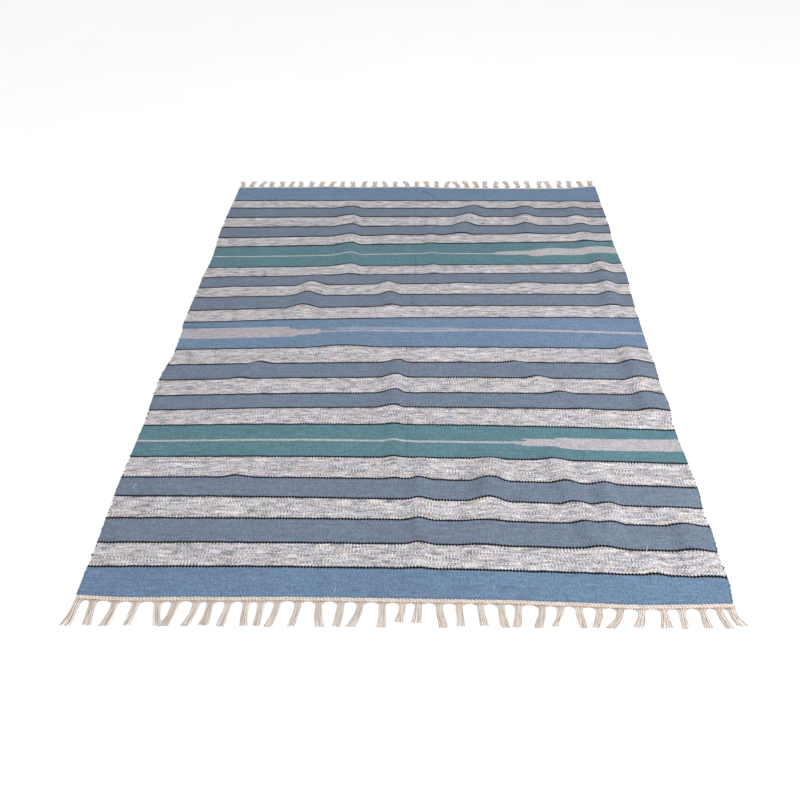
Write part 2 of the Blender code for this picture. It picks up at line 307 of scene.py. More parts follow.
class FringeSettings(bpy.types.PropertyGroup):
    heading_depth: bpy.props.FloatProperty(
        name="Heading depth", description="Depth of the twined heading", default=0.0095,
        unit="LENGTH")
    stitch_pitch: bpy.props.FloatProperty(
        name="Stitch pitch", description="Distance from stitch to stitch in the heading",
        default=0.0073, unit="LENGTH")
    yarns: bpy.props.IntProperty(
        name="Yarns", description="Warp yarns gathered into a tassel", default=11)
    ply_radius: bpy.props.FloatProperty(
        name="Ply radius", description="Radius of one of the two plies of a warp yarn",
        default=0.00068, unit="LENGTH")
    twist_pitch: bpy.props.FloatProperty(
        name="Twist pitch", description="Length of one turn of the plies", default=0.0085,
        unit="LENGTH")
    gather: bpy.props.FloatProperty(
        name="Gather", description="Half width of a tassel where it leaves the heading",
        default=0.0066, unit="LENGTH")


class StageSettings(bpy.types.PropertyGroup):
    floor_size: bpy.props.FloatProperty(
        name="Floor size", description="Side of the square floor", default=24.0, unit="LENGTH")
    floor_colour: bpy.props.FloatVectorProperty(
        name="Floor colour", description="Colour of the pale floor", size=3, subtype="COLOR",
        default=(0.94, 0.94, 0.94))
    sky: bpy.props.FloatProperty(
        name="Sky", description="Strength of the white surroundings", default=0.76)
    overhead: bpy.props.FloatProperty(
        name="Overhead", description="Strength of the broad light overhead", default=0.96)
    softness: bpy.props.FloatProperty(
        name="Softness", description="Angle that the overhead light comes from", default=0.9,
        subtype="ANGLE")
    lamp: bpy.props.FloatProperty(
        name="Lamp", description="Power of the soft lamp at the near right", default=40.0,
        unit="POWER")
    lamp_size: bpy.props.FloatProperty(
        name="Lamp size", description="Side of a soft lamp", default=1.2, unit="LENGTH")
    lens: bpy.props.FloatProperty(
        name="Lens", description="Focal length of the camera in millimetres", default=38.06)


def lerp(first, last, share):
    return first + (last - first) * share


def eased(share):
    """A rise from 0 to 1 that is level at both ends."""
    share = min(max(share, 0.0), 1.0)
    return share * share * (3.0 - 2.0 * share)


def read_along(table, at):
    """The out value of a table of at and out rows, eased from row to row."""
    if at <= table[0].at:
        return table[0].out
    for first, last in zip(table, table[1:]):
        if at <= last.at:
            return lerp(first.out, last.out, eased((at - first.at) / (last.at - first.at)))
    return table[-1].out


# How much brighter than its own colour the camera sees the cloth, in linear light
LIGHT_ON_CLOTH = 1.28


def reflectance(yarn):
    """The colour of a yarn in linear light, taken back from how bright the camera sees it."""
    seen = [part / 255.0 for part in YARNS[yarn]]
    linear = [((part + 0.055) / 1.055) ** 2.4 for part in seen]
    return tuple(part / LIGHT_ON_CLOTH for part in linear)


def ridge_share(ridge, x, y, ease):
    """How far x is from a ridge's crest at y, and how much of the ridge's height is there."""
    length = ridge.far_y - ridge.near_y
    along = (y - ridge.near_y) / length
    if not 0.0 < along < 1.0:
        return 0.0, 0.0
    from_end = abs(length) * min(along, 1.0 - along)
    return x - lerp(ridge.near_x, ridge.far_x, along), eased(from_end / min(ease, abs(length) / 2))


def ripple_lift(ripple, x, y):
    from_crest, fade = ridge_share(ripple, x, y, RIPPLE_EASE)
    across = from_crest / (ripple.right if from_crest > 0.0 else -ripple.left)
    if fade <= 0.0 or across >= 1.0:
        return 0.0
    return ripple.height * fade * 0.5 * (1.0 + math.cos(math.pi * across))


def crease_lift(crease, x, y):
    from_crest, fade = ridge_share(crease, x, y, CREASE_EASE)
    across = abs(from_crest) / crease.half
    if fade <= 0.0 or across >= 1.0:
        return 0.0
    return crease.height * fade * (1.0 - across) ** 1.5


def cloth_lift(x, y):
    """Height of the cloth's underside over the floor, from its folds alone."""
    return sum(ripple_lift(ripple, x, y) for ripple in RIPPLES)


# The unevenness of the cloth: a steady share of its height, then waves for each metre across
# and along, a place in the noise, and their share of the height
STEADY_SHARE = 0.5
Wave = namedtuple("Wave", "across along place share")
WAVES = rows_of(Wave, (6.0, 3.0, 4.7, 0.6), (17.0, 8.0, 9.1, 0.4))


def small_waves(x, y, height):
    """The unevenness of hand-woven cloth: long soft waves, and shorter ones."""
    waves = (wave.share * noise.noise(Vector((x * wave.across, y * wave.along, wave.place)))
             for wave in WAVES)
    return height * sum(waves, STEADY_SHARE)


def weft_line(x, v, settings):
    """Where the weft of woven height v crosses x."""
    half_length = settings.length / 2
    half_width = settings.width / 2
    skew, bow = PINSTRIPES[0].skew, PINSTRIPES[0].bow
    if v <= PINSTRIPES[-1].at:
        skew, bow = PINSTRIPES[-1].skew, PINSTRIPES[-1].bow
    for far, near in zip(PINSTRIPES, PINSTRIPES[1:]):
        if near.at <= v <= far.at:
            share = (v - near.at) / (far.at - near.at)
            skew = lerp(near.skew, far.skew, share)
            bow = lerp(near.bow, far.bow, share)
    y = v + MILLIMETRE * (skew * x - bow * (x / half_width) ** 2)
    edge = (half_length + read_along(FAR_EDGE, x)) if v > 0.0 else (
        -half_length - read_along(NEAR_EDGE, x))
    blend = eased(1.0 - (half_length - abs(v)) / END_BLEND)
    end_y = edge - math.copysign(half_length - abs(v), v)
    return lerp(y, end_y, blend)


def cloth_point(u, v, settings):
    """The cloth's underside in the frame at woven coordinates u and v."""
    across = u / settings.width
    y = weft_line(u - settings.width / 2, v, settings)
    left = -settings.width / 2 - read_along(LEFT_EDGE, y)
    right = settings.width / 2 + read_along(RIGHT_EDGE, y)
    x = lerp(left, right, across)
    y = weft_line(x, v, settings)
    return x, y, cloth_lift(x, y)


def band_yarn(v):
    """The weft yarn at woven height v."""
    yarn = FAR_YARN
    for pinstripe in PINSTRIPES:
        if v < pinstripe.at:
            yarn = pinstripe.yarn
    return yarn


def nearest_pinstripe(v):
    return min((pinstripe.at for pinstripe in PINSTRIPES), key=lambda at: abs(at - v))


def black_picks(at, settings):
    """How many picks of black yarn the pinstripe at woven height at has."""
    return settings.pinstripe_picks + int(at > WIDE_PINSTRIPES_FROM)


def woven_columns(settings):
    """Woven places of the mesh columns, crowded at the two selvedges where the cords lie."""
    inner = SELVEDGE[-1].at
    steps = settings.columns - 2 * (len(SELVEDGE) - 1)
    left = [place.at for place in SELVEDGE]
    middle = [lerp(inner, settings.width - inner, step / steps) for step in range(1, steps)]
    return left + middle + [settings.width - at for at in reversed(left)]


def selvedge_rise(u, settings):
    """How far the cloth's top rises over the doubled warps beside a selvedge."""
    return read_along(SELVEDGE, min(u, settings.width - u))


def woven_rows(settings):
    """Woven heights of the mesh rows: one on each pinstripe and in each band's middle."""
    half = settings.length / 2
    marks = [-half] + [pinstripe.at for pinstripe in reversed(PINSTRIPES)] + [half]
    rows = [-half]
    for low, high in zip(marks, marks[1:]):
        steps = 2 * math.ceil((high - low) / 2 / settings.row_pitch)
        rows += [lerp(low, high, step / steps) for step in range(1, steps + 1)]
    return rows


def plain_mesh(obj):
    """Turns an object and its modifiers into one object with a plain mesh."""
    graph = bpy.context.evaluated_depsgraph_get()
    mesh = bpy.data.meshes.new_from_object(obj.evaluated_get(graph), depsgraph=graph)
    obj.modifiers.clear()
    old = obj.data
    obj.data = mesh
    mesh.name = obj.name
    if isinstance(old, bpy.types.Mesh) and not old.users:
        bpy.data.meshes.remove(old)
    return obj


def add_object(name, mesh):
    obj = bpy.data.objects.new(name, mesh)
    bpy.context.scene.collection.objects.link(obj)
    return obj


def dress(obj, material):
    obj.data.materials.clear()
    obj.data.materials.append(material)
    for face in obj.data.polygons:
        face.material_index = 0
    obj.data.shade_smooth()


# Where the values of a noise mostly lie: soft, fine with more detail, and white
SOFT = (0.3, 0.7)
FINE = (0.2, 0.8)
WHITE = (0.0, 1.0)


class Recipe:
    """Adds nodes to a tree and joins them, handing back output sockets."""

    def __init__(self, tree):
        self.tree = tree

    def join(self, value, socket):
        if isinstance(value, bpy.types.NodeSocket):
            self.tree.links.new(value, socket)
        else:
            socket.default_value = value

    def node(self, kind, inputs=None, **settings):
        made = self.tree.nodes.new(kind)
        for key, value in settings.items():
            setattr(made, key, value)
        for key, value in (inputs or {}).items():
            self.join(value, made.inputs[key])
        return made

    def value(self, kind, inputs=None, **settings):
        """The first output of a new node."""
        return self.node(kind, inputs, **settings).outputs[0]

    def math(self, operation, *values):
        return self.value("ShaderNodeMath", dict(enumerate(values)), operation=operation)

    def vector_math(self, operation, *values):
        return self.value("ShaderNodeVectorMath", dict(enumerate(values)), operation=operation)

    def vector(self, x=0.0, y=0.0, z=0.0):
        return self.value("ShaderNodeCombineXYZ", {0: x, 1: y, 2: z})

    def attribute(self, name, output="Fac"):
        return self.node("ShaderNodeAttribute", attribute_name=name).outputs[output]

    def noise(self, place, scale=1.0, detail=1.0):
        return self.value("ShaderNodeTexNoise",
                          {"Vector": place, "Scale": scale, "Detail": detail})

    def span(self, value, low, high, to_low=0.0, to_high=1.0, smooth=False):
        """Maps low to high onto to_low to to_high, and clamps outside."""
        inputs = {"Value": value, "From Min": low, "From Max": high, "To Min": to_low,
                  "To Max": to_high}
        return self.value("ShaderNodeMapRange", inputs,
                          interpolation_type="SMOOTHSTEP" if smooth else "LINEAR")

    def about(self, middle, reach, value, lies=SOFT):
        """Turns a noise value into one that lies about a middle, no further off than a reach."""
        return self.span(value, *lies, middle - reach, middle + reach)

    def blend(self, factor, first, second):
        made = self.node("ShaderNodeMix", data_type="RGBA")
        for number, value in ((0, factor), (6, first), (7, second)):
            self.join(value, made.inputs[number])
        return made.outputs[2]

    def tint(self, colour, place, amount):
        """The colour with its red, green and blue each a little up or down from place to place."""
        shift = self.node("ShaderNodeTexNoise", {"Vector": place, "Scale": 1.0, "Detail": 1.0})
        low = (1.0 - amount / 2,) * 3
        factor = self.vector_math("MULTIPLY_ADD", shift.outputs["Color"], (amount,) * 3, low)
        return self.vector_math("MULTIPLY", colour, factor)

    def warm(self, colour, amount):
        """The colour made warmer, or cooler below 0, by an amount that may vary."""
        red, blue = self.math("ADD", 1.0, amount), self.math("SUBTRACT", 1.0, amount)
        return self.vector_math("MULTIPLY", colour, self.vector(red, 1.0, blue))

    def scale(self, colour, factor):
        """A colour or a vector times a factor that may vary from place to place."""
        return self.value("ShaderNodeVectorMath", {0: colour, "Scale": factor},
                          operation="SCALE")

    def relief(self, shader, height, strength, distance):
        """Raises and lowers the look of a surface."""
        bump = self.value("ShaderNodeBump", {"Height": height, "Strength": strength,
                                             "Distance": distance})
        self.join(bump, shader.inputs["Normal"])


# How matte cotton shines; the floor has a roughness of its own, and no sheen
MATTE = {"Specular IOR Level": 0.12, "Sheen Weight": 0.04, "Sheen Roughness": 0.6}
CLOTH_ROUGHNESS = 0.92
YARN_ROUGHNESS = 0.94
FLOOR_ROUGHNESS = 0.8


def new_material(name, roughness):
    material = bpy.data.materials.new(name)
    material.use_nodes = True
    shader = material.node_tree.nodes["Principled BSDF"]
    for key, value in {"Roughness": roughness, **MATTE}.items():
        shader.inputs[key].default_value = value
    return Recipe(material.node_tree), shader, material


def opaque(colour):
    return (*colour, 1.0)


# How far the ribs and picks wander, and how many wanderings there are to a metre
GRAIN_DRIFT = 0.0007
DRIFTS = 24.0
Grain = namedtuple("Grain", "u v middle_u middle_v rib yarn from_rib from_row")


def woven_grain(recipe, settings):
    """Splits the woven coordinates into weft grains, brick-laid over the ribs.

    Hands back the point's own coordinates, the middle of the grain that it lies on, the
    numbers of the grain's rib and yarn, and how near the point is to the grain's sides and to
    its ends, from 0 in the middle to 1 at the rim.
    """
    uv = recipe.value("ShaderNodeUVMap", uv_map=WEAVE_MAP)
    parts = recipe.node("ShaderNodeSeparateXYZ", {0: uv}).outputs
    drift = recipe.about(0.0, GRAIN_DRIFT, recipe.noise(uv, scale=DRIFTS))
    u = recipe.math("ADD", parts[0], drift)
    v = recipe.math("ADD", parts[1], drift)
    rib = recipe.math("DIVIDE", u, settings.rib_pitch)
    rib_number = recipe.math("FLOOR", rib)
    odd = recipe.math("MODULO", rib_number, 2.0)
    half_step = recipe.math("MULTIPLY", odd, 0.5)
    row = recipe.math("MULTIPLY_ADD", v, 1.0 / settings.grain_height, half_step)
    row_number = recipe.math("FLOOR", row)
    yarn = recipe.math("MULTIPLY_ADD", row_number, 2.0, recipe.math("SUBTRACT", 1.0, odd))
    middle_u = recipe.math("MULTIPLY", recipe.math("ADD", rib_number, 0.5), settings.rib_pitch)
    middle_row = recipe.math("SUBTRACT", recipe.math("ADD", row_number, 0.5), half_step)
    middle_v = recipe.math("MULTIPLY", middle_row, settings.grain_height)
    return Grain(u, v, middle_u, middle_v, rib_number, yarn, from_middle(recipe, rib),
                 from_middle(recipe, row))


def from_middle(recipe, count):
    """How far a running count is from the middle of its whole step, from 0 to 1 at its rim."""
    share = recipe.math("FRACT", count)
    return recipe.math("ABSOLUTE", recipe.math("MULTIPLY_ADD", share, 2.0, -1.0))


# How a yarn's tone or hue changes: how far each change runs along the yarn, how unlike the
# yarns beside it are, a place in the noise of its own, and how fine the noise is
YarnNoise = namedtuple("YarnNoise", "length spread place detail")
PLY_SLIDE = YarnNoise(0.16, 0.17, 3.0, 1.0)
FLECK_STREAK = YarnNoise(0.036, 0.83, 11.0, 2.0)
FLECK_CROWD = YarnNoise(0.055, 0.12, 17.0, 1.0)
FLECK_BLUSH = YarnNoise(0.060, 0.47, 27.0, 1.0)
FLECK_HUE = YarnNoise(0.016, 0.71, 5.0, 1.0)
FLECK_PICK = YarnNoise(0.55, 0.31, 31.0, 1.0)
DYED_STREAK = YarnNoise(0.045, 0.77, 1.0, 2.0)
DYED_HUE = YarnNoise(0.022, 0.45, 8.0, 1.0)
DYED_PICK = YarnNoise(0.55, 0.31, 21.0, 1.0)
# How much of each shows in the speckled yarn: turns of slide, then shares of its paleness,
# and the sum at which it is all fleck and the sum at which it is all ground
SLIDE_TURNS = 9.0
PLY_SHARE = 0.08
SINGLE_SHARE = 0.21
STREAK_SHARE = 2.5
CROWD_SHARE = 0.6
ALL_FLECK = 1.00
ALL_GROUND = 2.10
BLUSH_REACH = 0.075
FLECK_HUE_REACH = 0.50
FLECK_PICK_REACH = 0.16
# How much of each shows in the dyed yarn
DYED_STREAK_REACH = 0.25
DYED_SINGLE_REACH = 0.17
DYED_PICK_REACH = 0.06
DYED_HUE_REACH = 0.22


def yarn_place(recipe, grain, look):
    """A noise place that slides along each yarn and jumps from yarn to yarn."""
    along = recipe.math("DIVIDE", grain.middle_u, look.length)
    between = recipe.math("MULTIPLY", grain.yarn, look.spread)
    return recipe.vector(along, between, look.place)


def yarn_noise(recipe, grain, look):
    return recipe.noise(yarn_place(recipe, grain, look), detail=look.detail)


def single_tone(recipe, grain, middle, reach):
    """A value of its own for each grain."""
    place = recipe.vector(grain.rib, grain.yarn)
    value = recipe.value("ShaderNodeTexWhiteNoise", {"Vector": place})
    return recipe.about(middle, reach, value, WHITE)


def speckled_yarn(recipe, grain, settings):
    """Pale yarn plied with a blue-grey one: the two show by turns along each pick."""
    turns = recipe.math("DIVIDE", grain.middle_u, settings.ply_twist)
    turns = recipe.math("MULTIPLY_ADD", yarn_noise(recipe, grain, PLY_SLIDE), SLIDE_TURNS, turns)
    wave = recipe.math("COSINE", recipe.math("MULTIPLY", turns, math.tau))
    pale = single_tone(recipe, grain, 0.0, SINGLE_SHARE)
    for part, share in ((wave, PLY_SHARE),
                        (yarn_noise(recipe, grain, FLECK_STREAK), STREAK_SHARE),
                        (yarn_noise(recipe, grain, FLECK_CROWD), CROWD_SHARE)):
        pale = recipe.math("MULTIPLY_ADD", part, share, pale)
    pale = recipe.span(pale, ALL_FLECK, ALL_GROUND)
    colour = recipe.blend(pale, opaque(reflectance("fleck")), opaque(reflectance("ground")))
    blush = recipe.about(0.0, BLUSH_REACH, yarn_noise(recipe, grain, FLECK_BLUSH))
    colour = recipe.warm(colour, blush)
    colour = recipe.tint(colour, yarn_place(recipe, grain, FLECK_HUE), FLECK_HUE_REACH)
    pick = recipe.about(1.0, FLECK_PICK_REACH, yarn_noise(recipe, grain, FLECK_PICK))
    return recipe.scale(colour, pick)


def solid_yarn(recipe, grain, dyed):
    """Plain dyed yarn, a little lighter and darker from pick to pick and along each pick."""
    streak = yarn_noise(recipe, grain, DYED_STREAK)
    factor = recipe.about(1.0, DYED_STREAK_REACH, streak, FINE)
    factor = recipe.math("MULTIPLY", factor, single_tone(recipe, grain, 1.0, DYED_SINGLE_REACH))
    pick = recipe.about(1.0, DYED_PICK_REACH, yarn_noise(recipe, grain, DYED_PICK))
    factor = recipe.math("MULTIPLY", factor, pick)
    dyed = recipe.tint(dyed, yarn_place(recipe, grain, DYED_HUE), DYED_HUE_REACH)
    return recipe.scale(dyed, factor)


def curve_over(recipe, across, points, low, high, smooth):
    """The height of a curve through a few points, each given as a place and a height."""
    made = recipe.node("ShaderNodeFloatCurve", {"Factor": 1.0, "Value": across})
    curve = made.mapping.curves[0]
    points = [(place, (height - low) / (high - low)) for place, height in points]
    for end, point in zip(curve.points, (points[0], points[-1])):
        end.location = point
    for point in points[1:-1]:
        curve.points.new(*point)
    for point in curve.points:
        point.handle_type = "AUTO_CLAMPED" if smooth else "VECTOR"
    made.mapping.update()
    return recipe.math("MULTIPLY_ADD", made.outputs[0], high - low, low)


# How ragged the tongues are: how many yarns are dyed to the same length and how far off that
# is, the slower changes to a metre, how far off those are, and where their noise mostly lies
DYED_TOGETHER = 3.0
QUICK_RAG = 0.015
SLOW_RAGS = 95.0
SLOW_RAG = 0.007
SLOW_NOISE = (0.36, 0.64)
# Room that the curves of a tongue's middle and of its half width are drawn in
MIDDLE_MARGIN = 0.002
MOST_HALF = 0.04


def tongue_mask(recipe, grain, tongue, width):
    """1 on the pale resist-dyed yarn of a tongue: every few picks are dyed to their own length."""
    slow = recipe.math("MULTIPLY", grain.middle_v, SLOW_RAGS)
    slow = recipe.noise(recipe.vector(slow, 0.0, 2.0))
    few = recipe.math("FLOOR", recipe.math("DIVIDE", grain.yarn, DYED_TOGETHER))
    quick = recipe.value("ShaderNodeTexWhiteNoise", {"Vector": recipe.vector(0.0, few)})
    shift = recipe.math("ADD", recipe.about(0.0, SLOW_RAG, slow, SLOW_NOISE),
                        recipe.about(0.0, QUICK_RAG, quick, WHITE))
    plain = recipe.math("DIVIDE", grain.middle_u, width)
    shifted = recipe.math("DIVIDE", recipe.math("ADD", grain.middle_u, shift), width)
    middles = [(point.across / width, point.middle) for point in tongue.points]
    halves = [(point.across / width, point.half) for point in tongue.points]
    low = min(middle for across, middle in middles) - MIDDLE_MARGIN
    high = max(middle for across, middle in middles) + MIDDLE_MARGIN
    middle = curve_over(recipe, plain, middles, low, high, True)
    half = curve_over(recipe, shifted, halves, 0.0, MOST_HALF, False)
    away = recipe.math("ABSOLUTE", recipe.math("SUBTRACT", grain.v, middle))
    return recipe.math("LESS_THAN", away, half)


def pinstripe_mask(recipe, grain, settings):
    """1 on the few picks of black yarn nearest to the pinstripe's own height."""
    middle = recipe.math("DIVIDE", recipe.attribute("pinstripe"), settings.grain_height / 2)
    away = recipe.math("ABSOLUTE", recipe.math("SUBTRACT", grain.yarn, middle))
    half = recipe.math("MULTIPLY", recipe.attribute("black picks"), 0.5)
    return recipe.math("LESS_THAN", away, half)


# Changes to a metre in how deep a fold line's painted shade is and in how it sways, where the
# noise of that depth mostly lies, and the share of its depth that the faintest part has
FOLD_SHADE_CHANGES = 9.0
FOLD_SWAYS = 4.0
FOLD_SHADE_NOISE = (0.35, 0.65)
FAINTEST_FOLD_SHADE = 0.25


def fold_shade(recipe, grain):
    """Painted shade in thin lines along the fold creases, fainter in places."""
    shade_noise = recipe.noise(recipe.vector(0.0, grain.v, 7.0), scale=FOLD_SHADE_CHANGES)
    sway = recipe.noise(recipe.vector(0.0, grain.v, 3.0), scale=FOLD_SWAYS)
    sway = recipe.about(0.0, FOLD_SWAY, sway)
    shade = 1.0
    for fold in FOLD_LINES:
        along = recipe.span(grain.v, fold.near_v, fold.far_v, fold.near_u, fold.far_u)
        away = recipe.math("SUBTRACT", recipe.math("ADD", grain.u, sway), along)
        line = recipe.span(recipe.math("ABSOLUTE", away), 0.0, fold.half, 1.0, 0.0, smooth=True)
        begun = recipe.span(grain.v, fold.near_v, fold.near_v + FOLD_END)
        ended = recipe.span(grain.v, fold.far_v, fold.far_v - FOLD_END)
        line = recipe.math("MULTIPLY", line, recipe.math("MULTIPLY", begun, ended))
        depth = recipe.span(shade_noise, *FOLD_SHADE_NOISE, FAINTEST_FOLD_SHADE * fold.depth, fold.depth)
        left = recipe.math("SUBTRACT", 1.0, recipe.math("MULTIPLY", line, depth))
        shade = recipe.math("MULTIPLY", shade, left)
    return shade


# The shade between grains and on them, and how sharply a groove begins
GROOVE_SHADE = 0.74
GRAIN_SHADE = 1.03
GROOVE_POWER = 5.0
# Fibres to a metre across and along the cloth, broad clouds to a metre, and how far each
# lightens and darkens it
FIBRES = (900.0, 2600.0)
FIBRE_REACH = 0.07
CLOUDS = 7.0
CLOUD_REACH = 0.035
# What raises the cloth: the roundness of a rib, the roundness of a pick, and the fibres
RIB_SHARE = 0.55
ROW_SHARE = 0.45
FIBRE_SHARE = 0.15
CLOTH_RELIEF = 0.6


def woven_cotton(settings, width):
    """The cloth's material: bands of weft, pinstripes and pale tongues, all woven in grains."""
    recipe, shader, material = new_material("woven cotton", CLOTH_ROUGHNESS)
    grain = woven_grain(recipe, settings)
    dyed = recipe.attribute("weft", "Color")
    for tongue in TONGUES:
        dyed = recipe.blend(tongue_mask(recipe, grain, tongue, width), dyed,
                            opaque(reflectance(tongue.yarn)))
    colour = recipe.blend(recipe.attribute("speckled"), solid_yarn(recipe, grain, dyed),
                          speckled_yarn(recipe, grain, settings))
    black = solid_yarn(recipe, grain, reflectance("pinstripe"))
    colour = recipe.blend(pinstripe_mask(recipe, grain, settings), colour, black)
    groove = recipe.math("MAXIMUM", recipe.math("POWER", grain.from_rib, GROOVE_POWER),
                         recipe.math("POWER", grain.from_row, GROOVE_POWER))
    across, along = (recipe.math("MULTIPLY", place, fibres)
                     for place, fibres in zip((grain.u, grain.v), FIBRES))
    fibre = recipe.noise(recipe.vector(across, along), detail=2.0)
    cloud = recipe.noise(recipe.vector(grain.u, grain.v), scale=CLOUDS, detail=2.0)
    shade = recipe.span(groove, 0.0, 1.0, GRAIN_SHADE, GROOVE_SHADE)
    for part in (recipe.about(1.0, FIBRE_REACH, fibre, FINE),
                 recipe.about(1.0, CLOUD_REACH, cloud), fold_shade(recipe, grain)):
        shade = recipe.math("MULTIPLY", shade, part)
    recipe.join(recipe.scale(colour, shade), shader.inputs["Base Color"])
    round_rib, round_row = (recipe.math("SUBTRACT", 1.0, recipe.math("POWER", place, 2.0))
                            for place in (grain.from_rib, grain.from_row))
    height = recipe.math("MULTIPLY", round_rib, RIB_SHARE)
    height = recipe.math("MULTIPLY_ADD", round_row, ROW_SHARE, height)
    height = recipe.math("MULTIPLY_ADD", fibre, FIBRE_SHARE, height)
    recipe.relief(shader, height, CLOTH_RELIEF, settings.relief)
    return material


# Painted shade: a yarn that lies low is painted darker and browner, not at all above the height,
# and most on the floor
PAINTED_SHADE_TOP = 0.0032
PAINTED_SHADE_MOST = 0.85
# Fibres and patches to a metre of separate yarn, how far each lightens and darkens it, and
# how strong and how deep its relief is
YARN_FIBRES = 1400.0
YARN_FIBRE_REACH = 0.10
YARN_PATCHES = 60.0
YARN_PATCH_REACH = 0.05
YARN_RELIEF = 0.4
YARN_RELIEF_DEPTH = 0.0002


def plain_yarn(name, yarn):
    """Cotton for separate strands: a tone for each strand, fibres and a soft relief.

    Its colour is that of the yarn, or of each strand's own weft where no yarn is given. Where a
    yarn is given, painted shade makes it darker and browner low down and where a strand's own
    attribute for painted shade says.
    """
    recipe, shader, material = new_material(name, YARN_ROUGHNESS)
    place = recipe.node("ShaderNodeTexCoord").outputs["Object"]
    fibre = recipe.noise(place, scale=YARN_FIBRES, detail=2.0)
    patch = recipe.noise(place, scale=YARN_PATCHES)
    shade = recipe.math("MULTIPLY", recipe.about(1.0, YARN_FIBRE_REACH, fibre, FINE),
                        recipe.about(1.0, YARN_PATCH_REACH, patch))
    shade = recipe.math("MULTIPLY", shade, recipe.attribute("tone"))
    if yarn is None:
        colour = recipe.attribute("weft", "Color")
    else:
        # Painted shade: darker and browner where the strand lies low, and as much as its own
        # attribute for painted shade says
        height = recipe.node("ShaderNodeSeparateXYZ", {0: place}).outputs[2]
        painted_shade_share = recipe.span(height, 0.0, PAINTED_SHADE_TOP, PAINTED_SHADE_MOST, 0.0, smooth=True)
        painted_shade_share = recipe.math("MAXIMUM", painted_shade_share, recipe.attribute("dusk"))
        colour = recipe.blend(painted_shade_share, opaque(reflectance(yarn)), opaque(reflectance("shade brown")))
    recipe.join(recipe.scale(colour, shade), shader.inputs["Base Color"])
    recipe.relief(shader, fibre, YARN_RELIEF, YARN_RELIEF_DEPTH)
    return material


def woven_mesh(settings, weave):
    """One layer of the cloth with its woven coordinates, and each face's yarn and pinstripe."""
    rows = woven_rows(settings)
    columns = woven_columns(settings)
    places = [(u, v) for v in rows for u in columns]
    points = []
    for u, v in places:
        x, y, z = cloth_point(u, v, settings)
        wave = small_waves(x, y, settings.unevenness)
        crease = sum(crease_lift(crease, x, y) for crease in CREASES)
        rise = crease + max(wave, 0.0) + selvedge_rise(u, settings)
        points.append((x, y, z + rise + settings.thickness))
    wide = len(columns)
    faces = [(row * wide + column, row * wide + column + 1,
              (row + 1) * wide + column + 1, (row + 1) * wide + column)
             for row in range(len(rows) - 1) for column in range(settings.columns)]
    mesh = bpy.data.meshes.new("cloth")
    mesh.from_pydata(points, [], faces)
    woven = mesh.uv_layers.new(name=WEAVE_MAP)
    for loop in mesh.loops:
        woven.data[loop.index].uv = places[loop.vertex_index]
    weft = mesh.attributes.new("weft", "FLOAT_COLOR", "CORNER")
    speckled, pinstripe, picks = (mesh.attributes.new(name, "FLOAT", "FACE")
                                  for name in ("speckled", "pinstripe", "black picks"))
    for row, (low, high) in enumerate(zip(rows, rows[1:])):
        yarn = band_yarn((low + high) / 2)
        colour = opaque(reflectance(yarn))
        nearest = nearest_pinstripe((low + high) / 2)
        for face in range(row * settings.columns, (row + 1) * settings.columns):
            for corner in mesh.polygons[face].loop_indices:
                weft.data[corner].color = colour
            speckled.data[face].value = float(yarn == "speckled")
            pinstripe.data[face].value = nearest
            picks.data[face].value = black_picks(nearest, weave)
    return mesh


def shared_tree(name, build):
    """The node tree of that name, built once."""
    made = bpy.data.node_groups.get(name)
    return made if made else build(bpy.data.node_groups.new(name, "GeometryNodeTree"))


def begin_tree(tree, start, numbers, counts):
    """Gives a tree its inputs and output, and hands back its recipe and what it is given."""
    sockets = [(start, "Geometry")] + [(name, "Float") for name in numbers]
    sockets += [(name, "Int") for name in counts] + [("Material", "Material")]
    for name, kind in sockets:
        tree.interface.new_socket(name, in_out="INPUT", socket_type=f"NodeSocket{kind}")
    tree.interface.new_socket("Geometry", in_out="OUTPUT", socket_type="NodeSocketGeometry")
    recipe = Recipe(tree)
    return recipe, recipe.node("NodeGroupInput").outputs


def finish_tree(recipe, geometry, material):
    smooth = recipe.value("GeometryNodeSetShadeSmooth", {"Geometry": geometry})
    real = recipe.value("GeometryNodeRealizeInstances", {0: smooth})
    dressed = recipe.value("GeometryNodeSetMaterial", {"Geometry": real, "Material": material})
    recipe.node("NodeGroupOutput", {0: dressed})


def random_share(recipe, spread, seed):
    """A number for each point, between 1 less the spread and 1 more."""
    low, high = recipe.math("SUBTRACT", 1.0, spread), recipe.math("ADD", 1.0, spread)
    return recipe.node("FunctionNodeRandomValue", {2: low, 3: high, 8: seed},
                       data_type="FLOAT").outputs[1]


# A grain is a ball with few faces, pressed to size; its tone has a seed of its own
BALL = {"Segments": 6, "Rings": 5, "Radius": 0.5}
TONE_SEED = 17.0


def grain_tree(tree):
    """Lays one bean-shaped grain of yarn on each point, turned and sized as the point says."""
    recipe, given = begin_tree(tree, "Points", ("Grain Length", "Grain Width", "Grain Height",
                                                "Size Spread", "Tone Spread"), ("Seed",))
    bean = recipe.value("GeometryNodeMeshUVSphere", BALL)
    size = recipe.vector(given["Grain Length"], given["Grain Width"], given["Grain Height"])
    bean = recipe.value("GeometryNodeTransform", {"Geometry": bean, "Scale": size})
    turn = recipe.value("GeometryNodeInputNamedAttribute", {"Name": "turn"},
                        data_type="FLOAT_VECTOR")
    turn = recipe.value("FunctionNodeEulerToRotation", {0: turn})
    scale = random_share(recipe, given["Size Spread"], given["Seed"])
    tone_seed = recipe.math("ADD", given["Seed"], TONE_SEED)
    tone = random_share(recipe, given["Tone Spread"], tone_seed)
    points = recipe.value("GeometryNodeStoreNamedAttribute",
                          {"Geometry": given["Points"], "Name": "tone", "Value": tone},
                          data_type="FLOAT", domain="POINT")
    laid = recipe.value("GeometryNodeInstanceOnPoints",
                        {"Points": points, "Instance": bean, "Rotation": turn, "Scale": scale})
    finish_tree(recipe, recipe.value("GeometryNodeRealizeInstances", {0: laid}),
                given["Material"])
    return tree


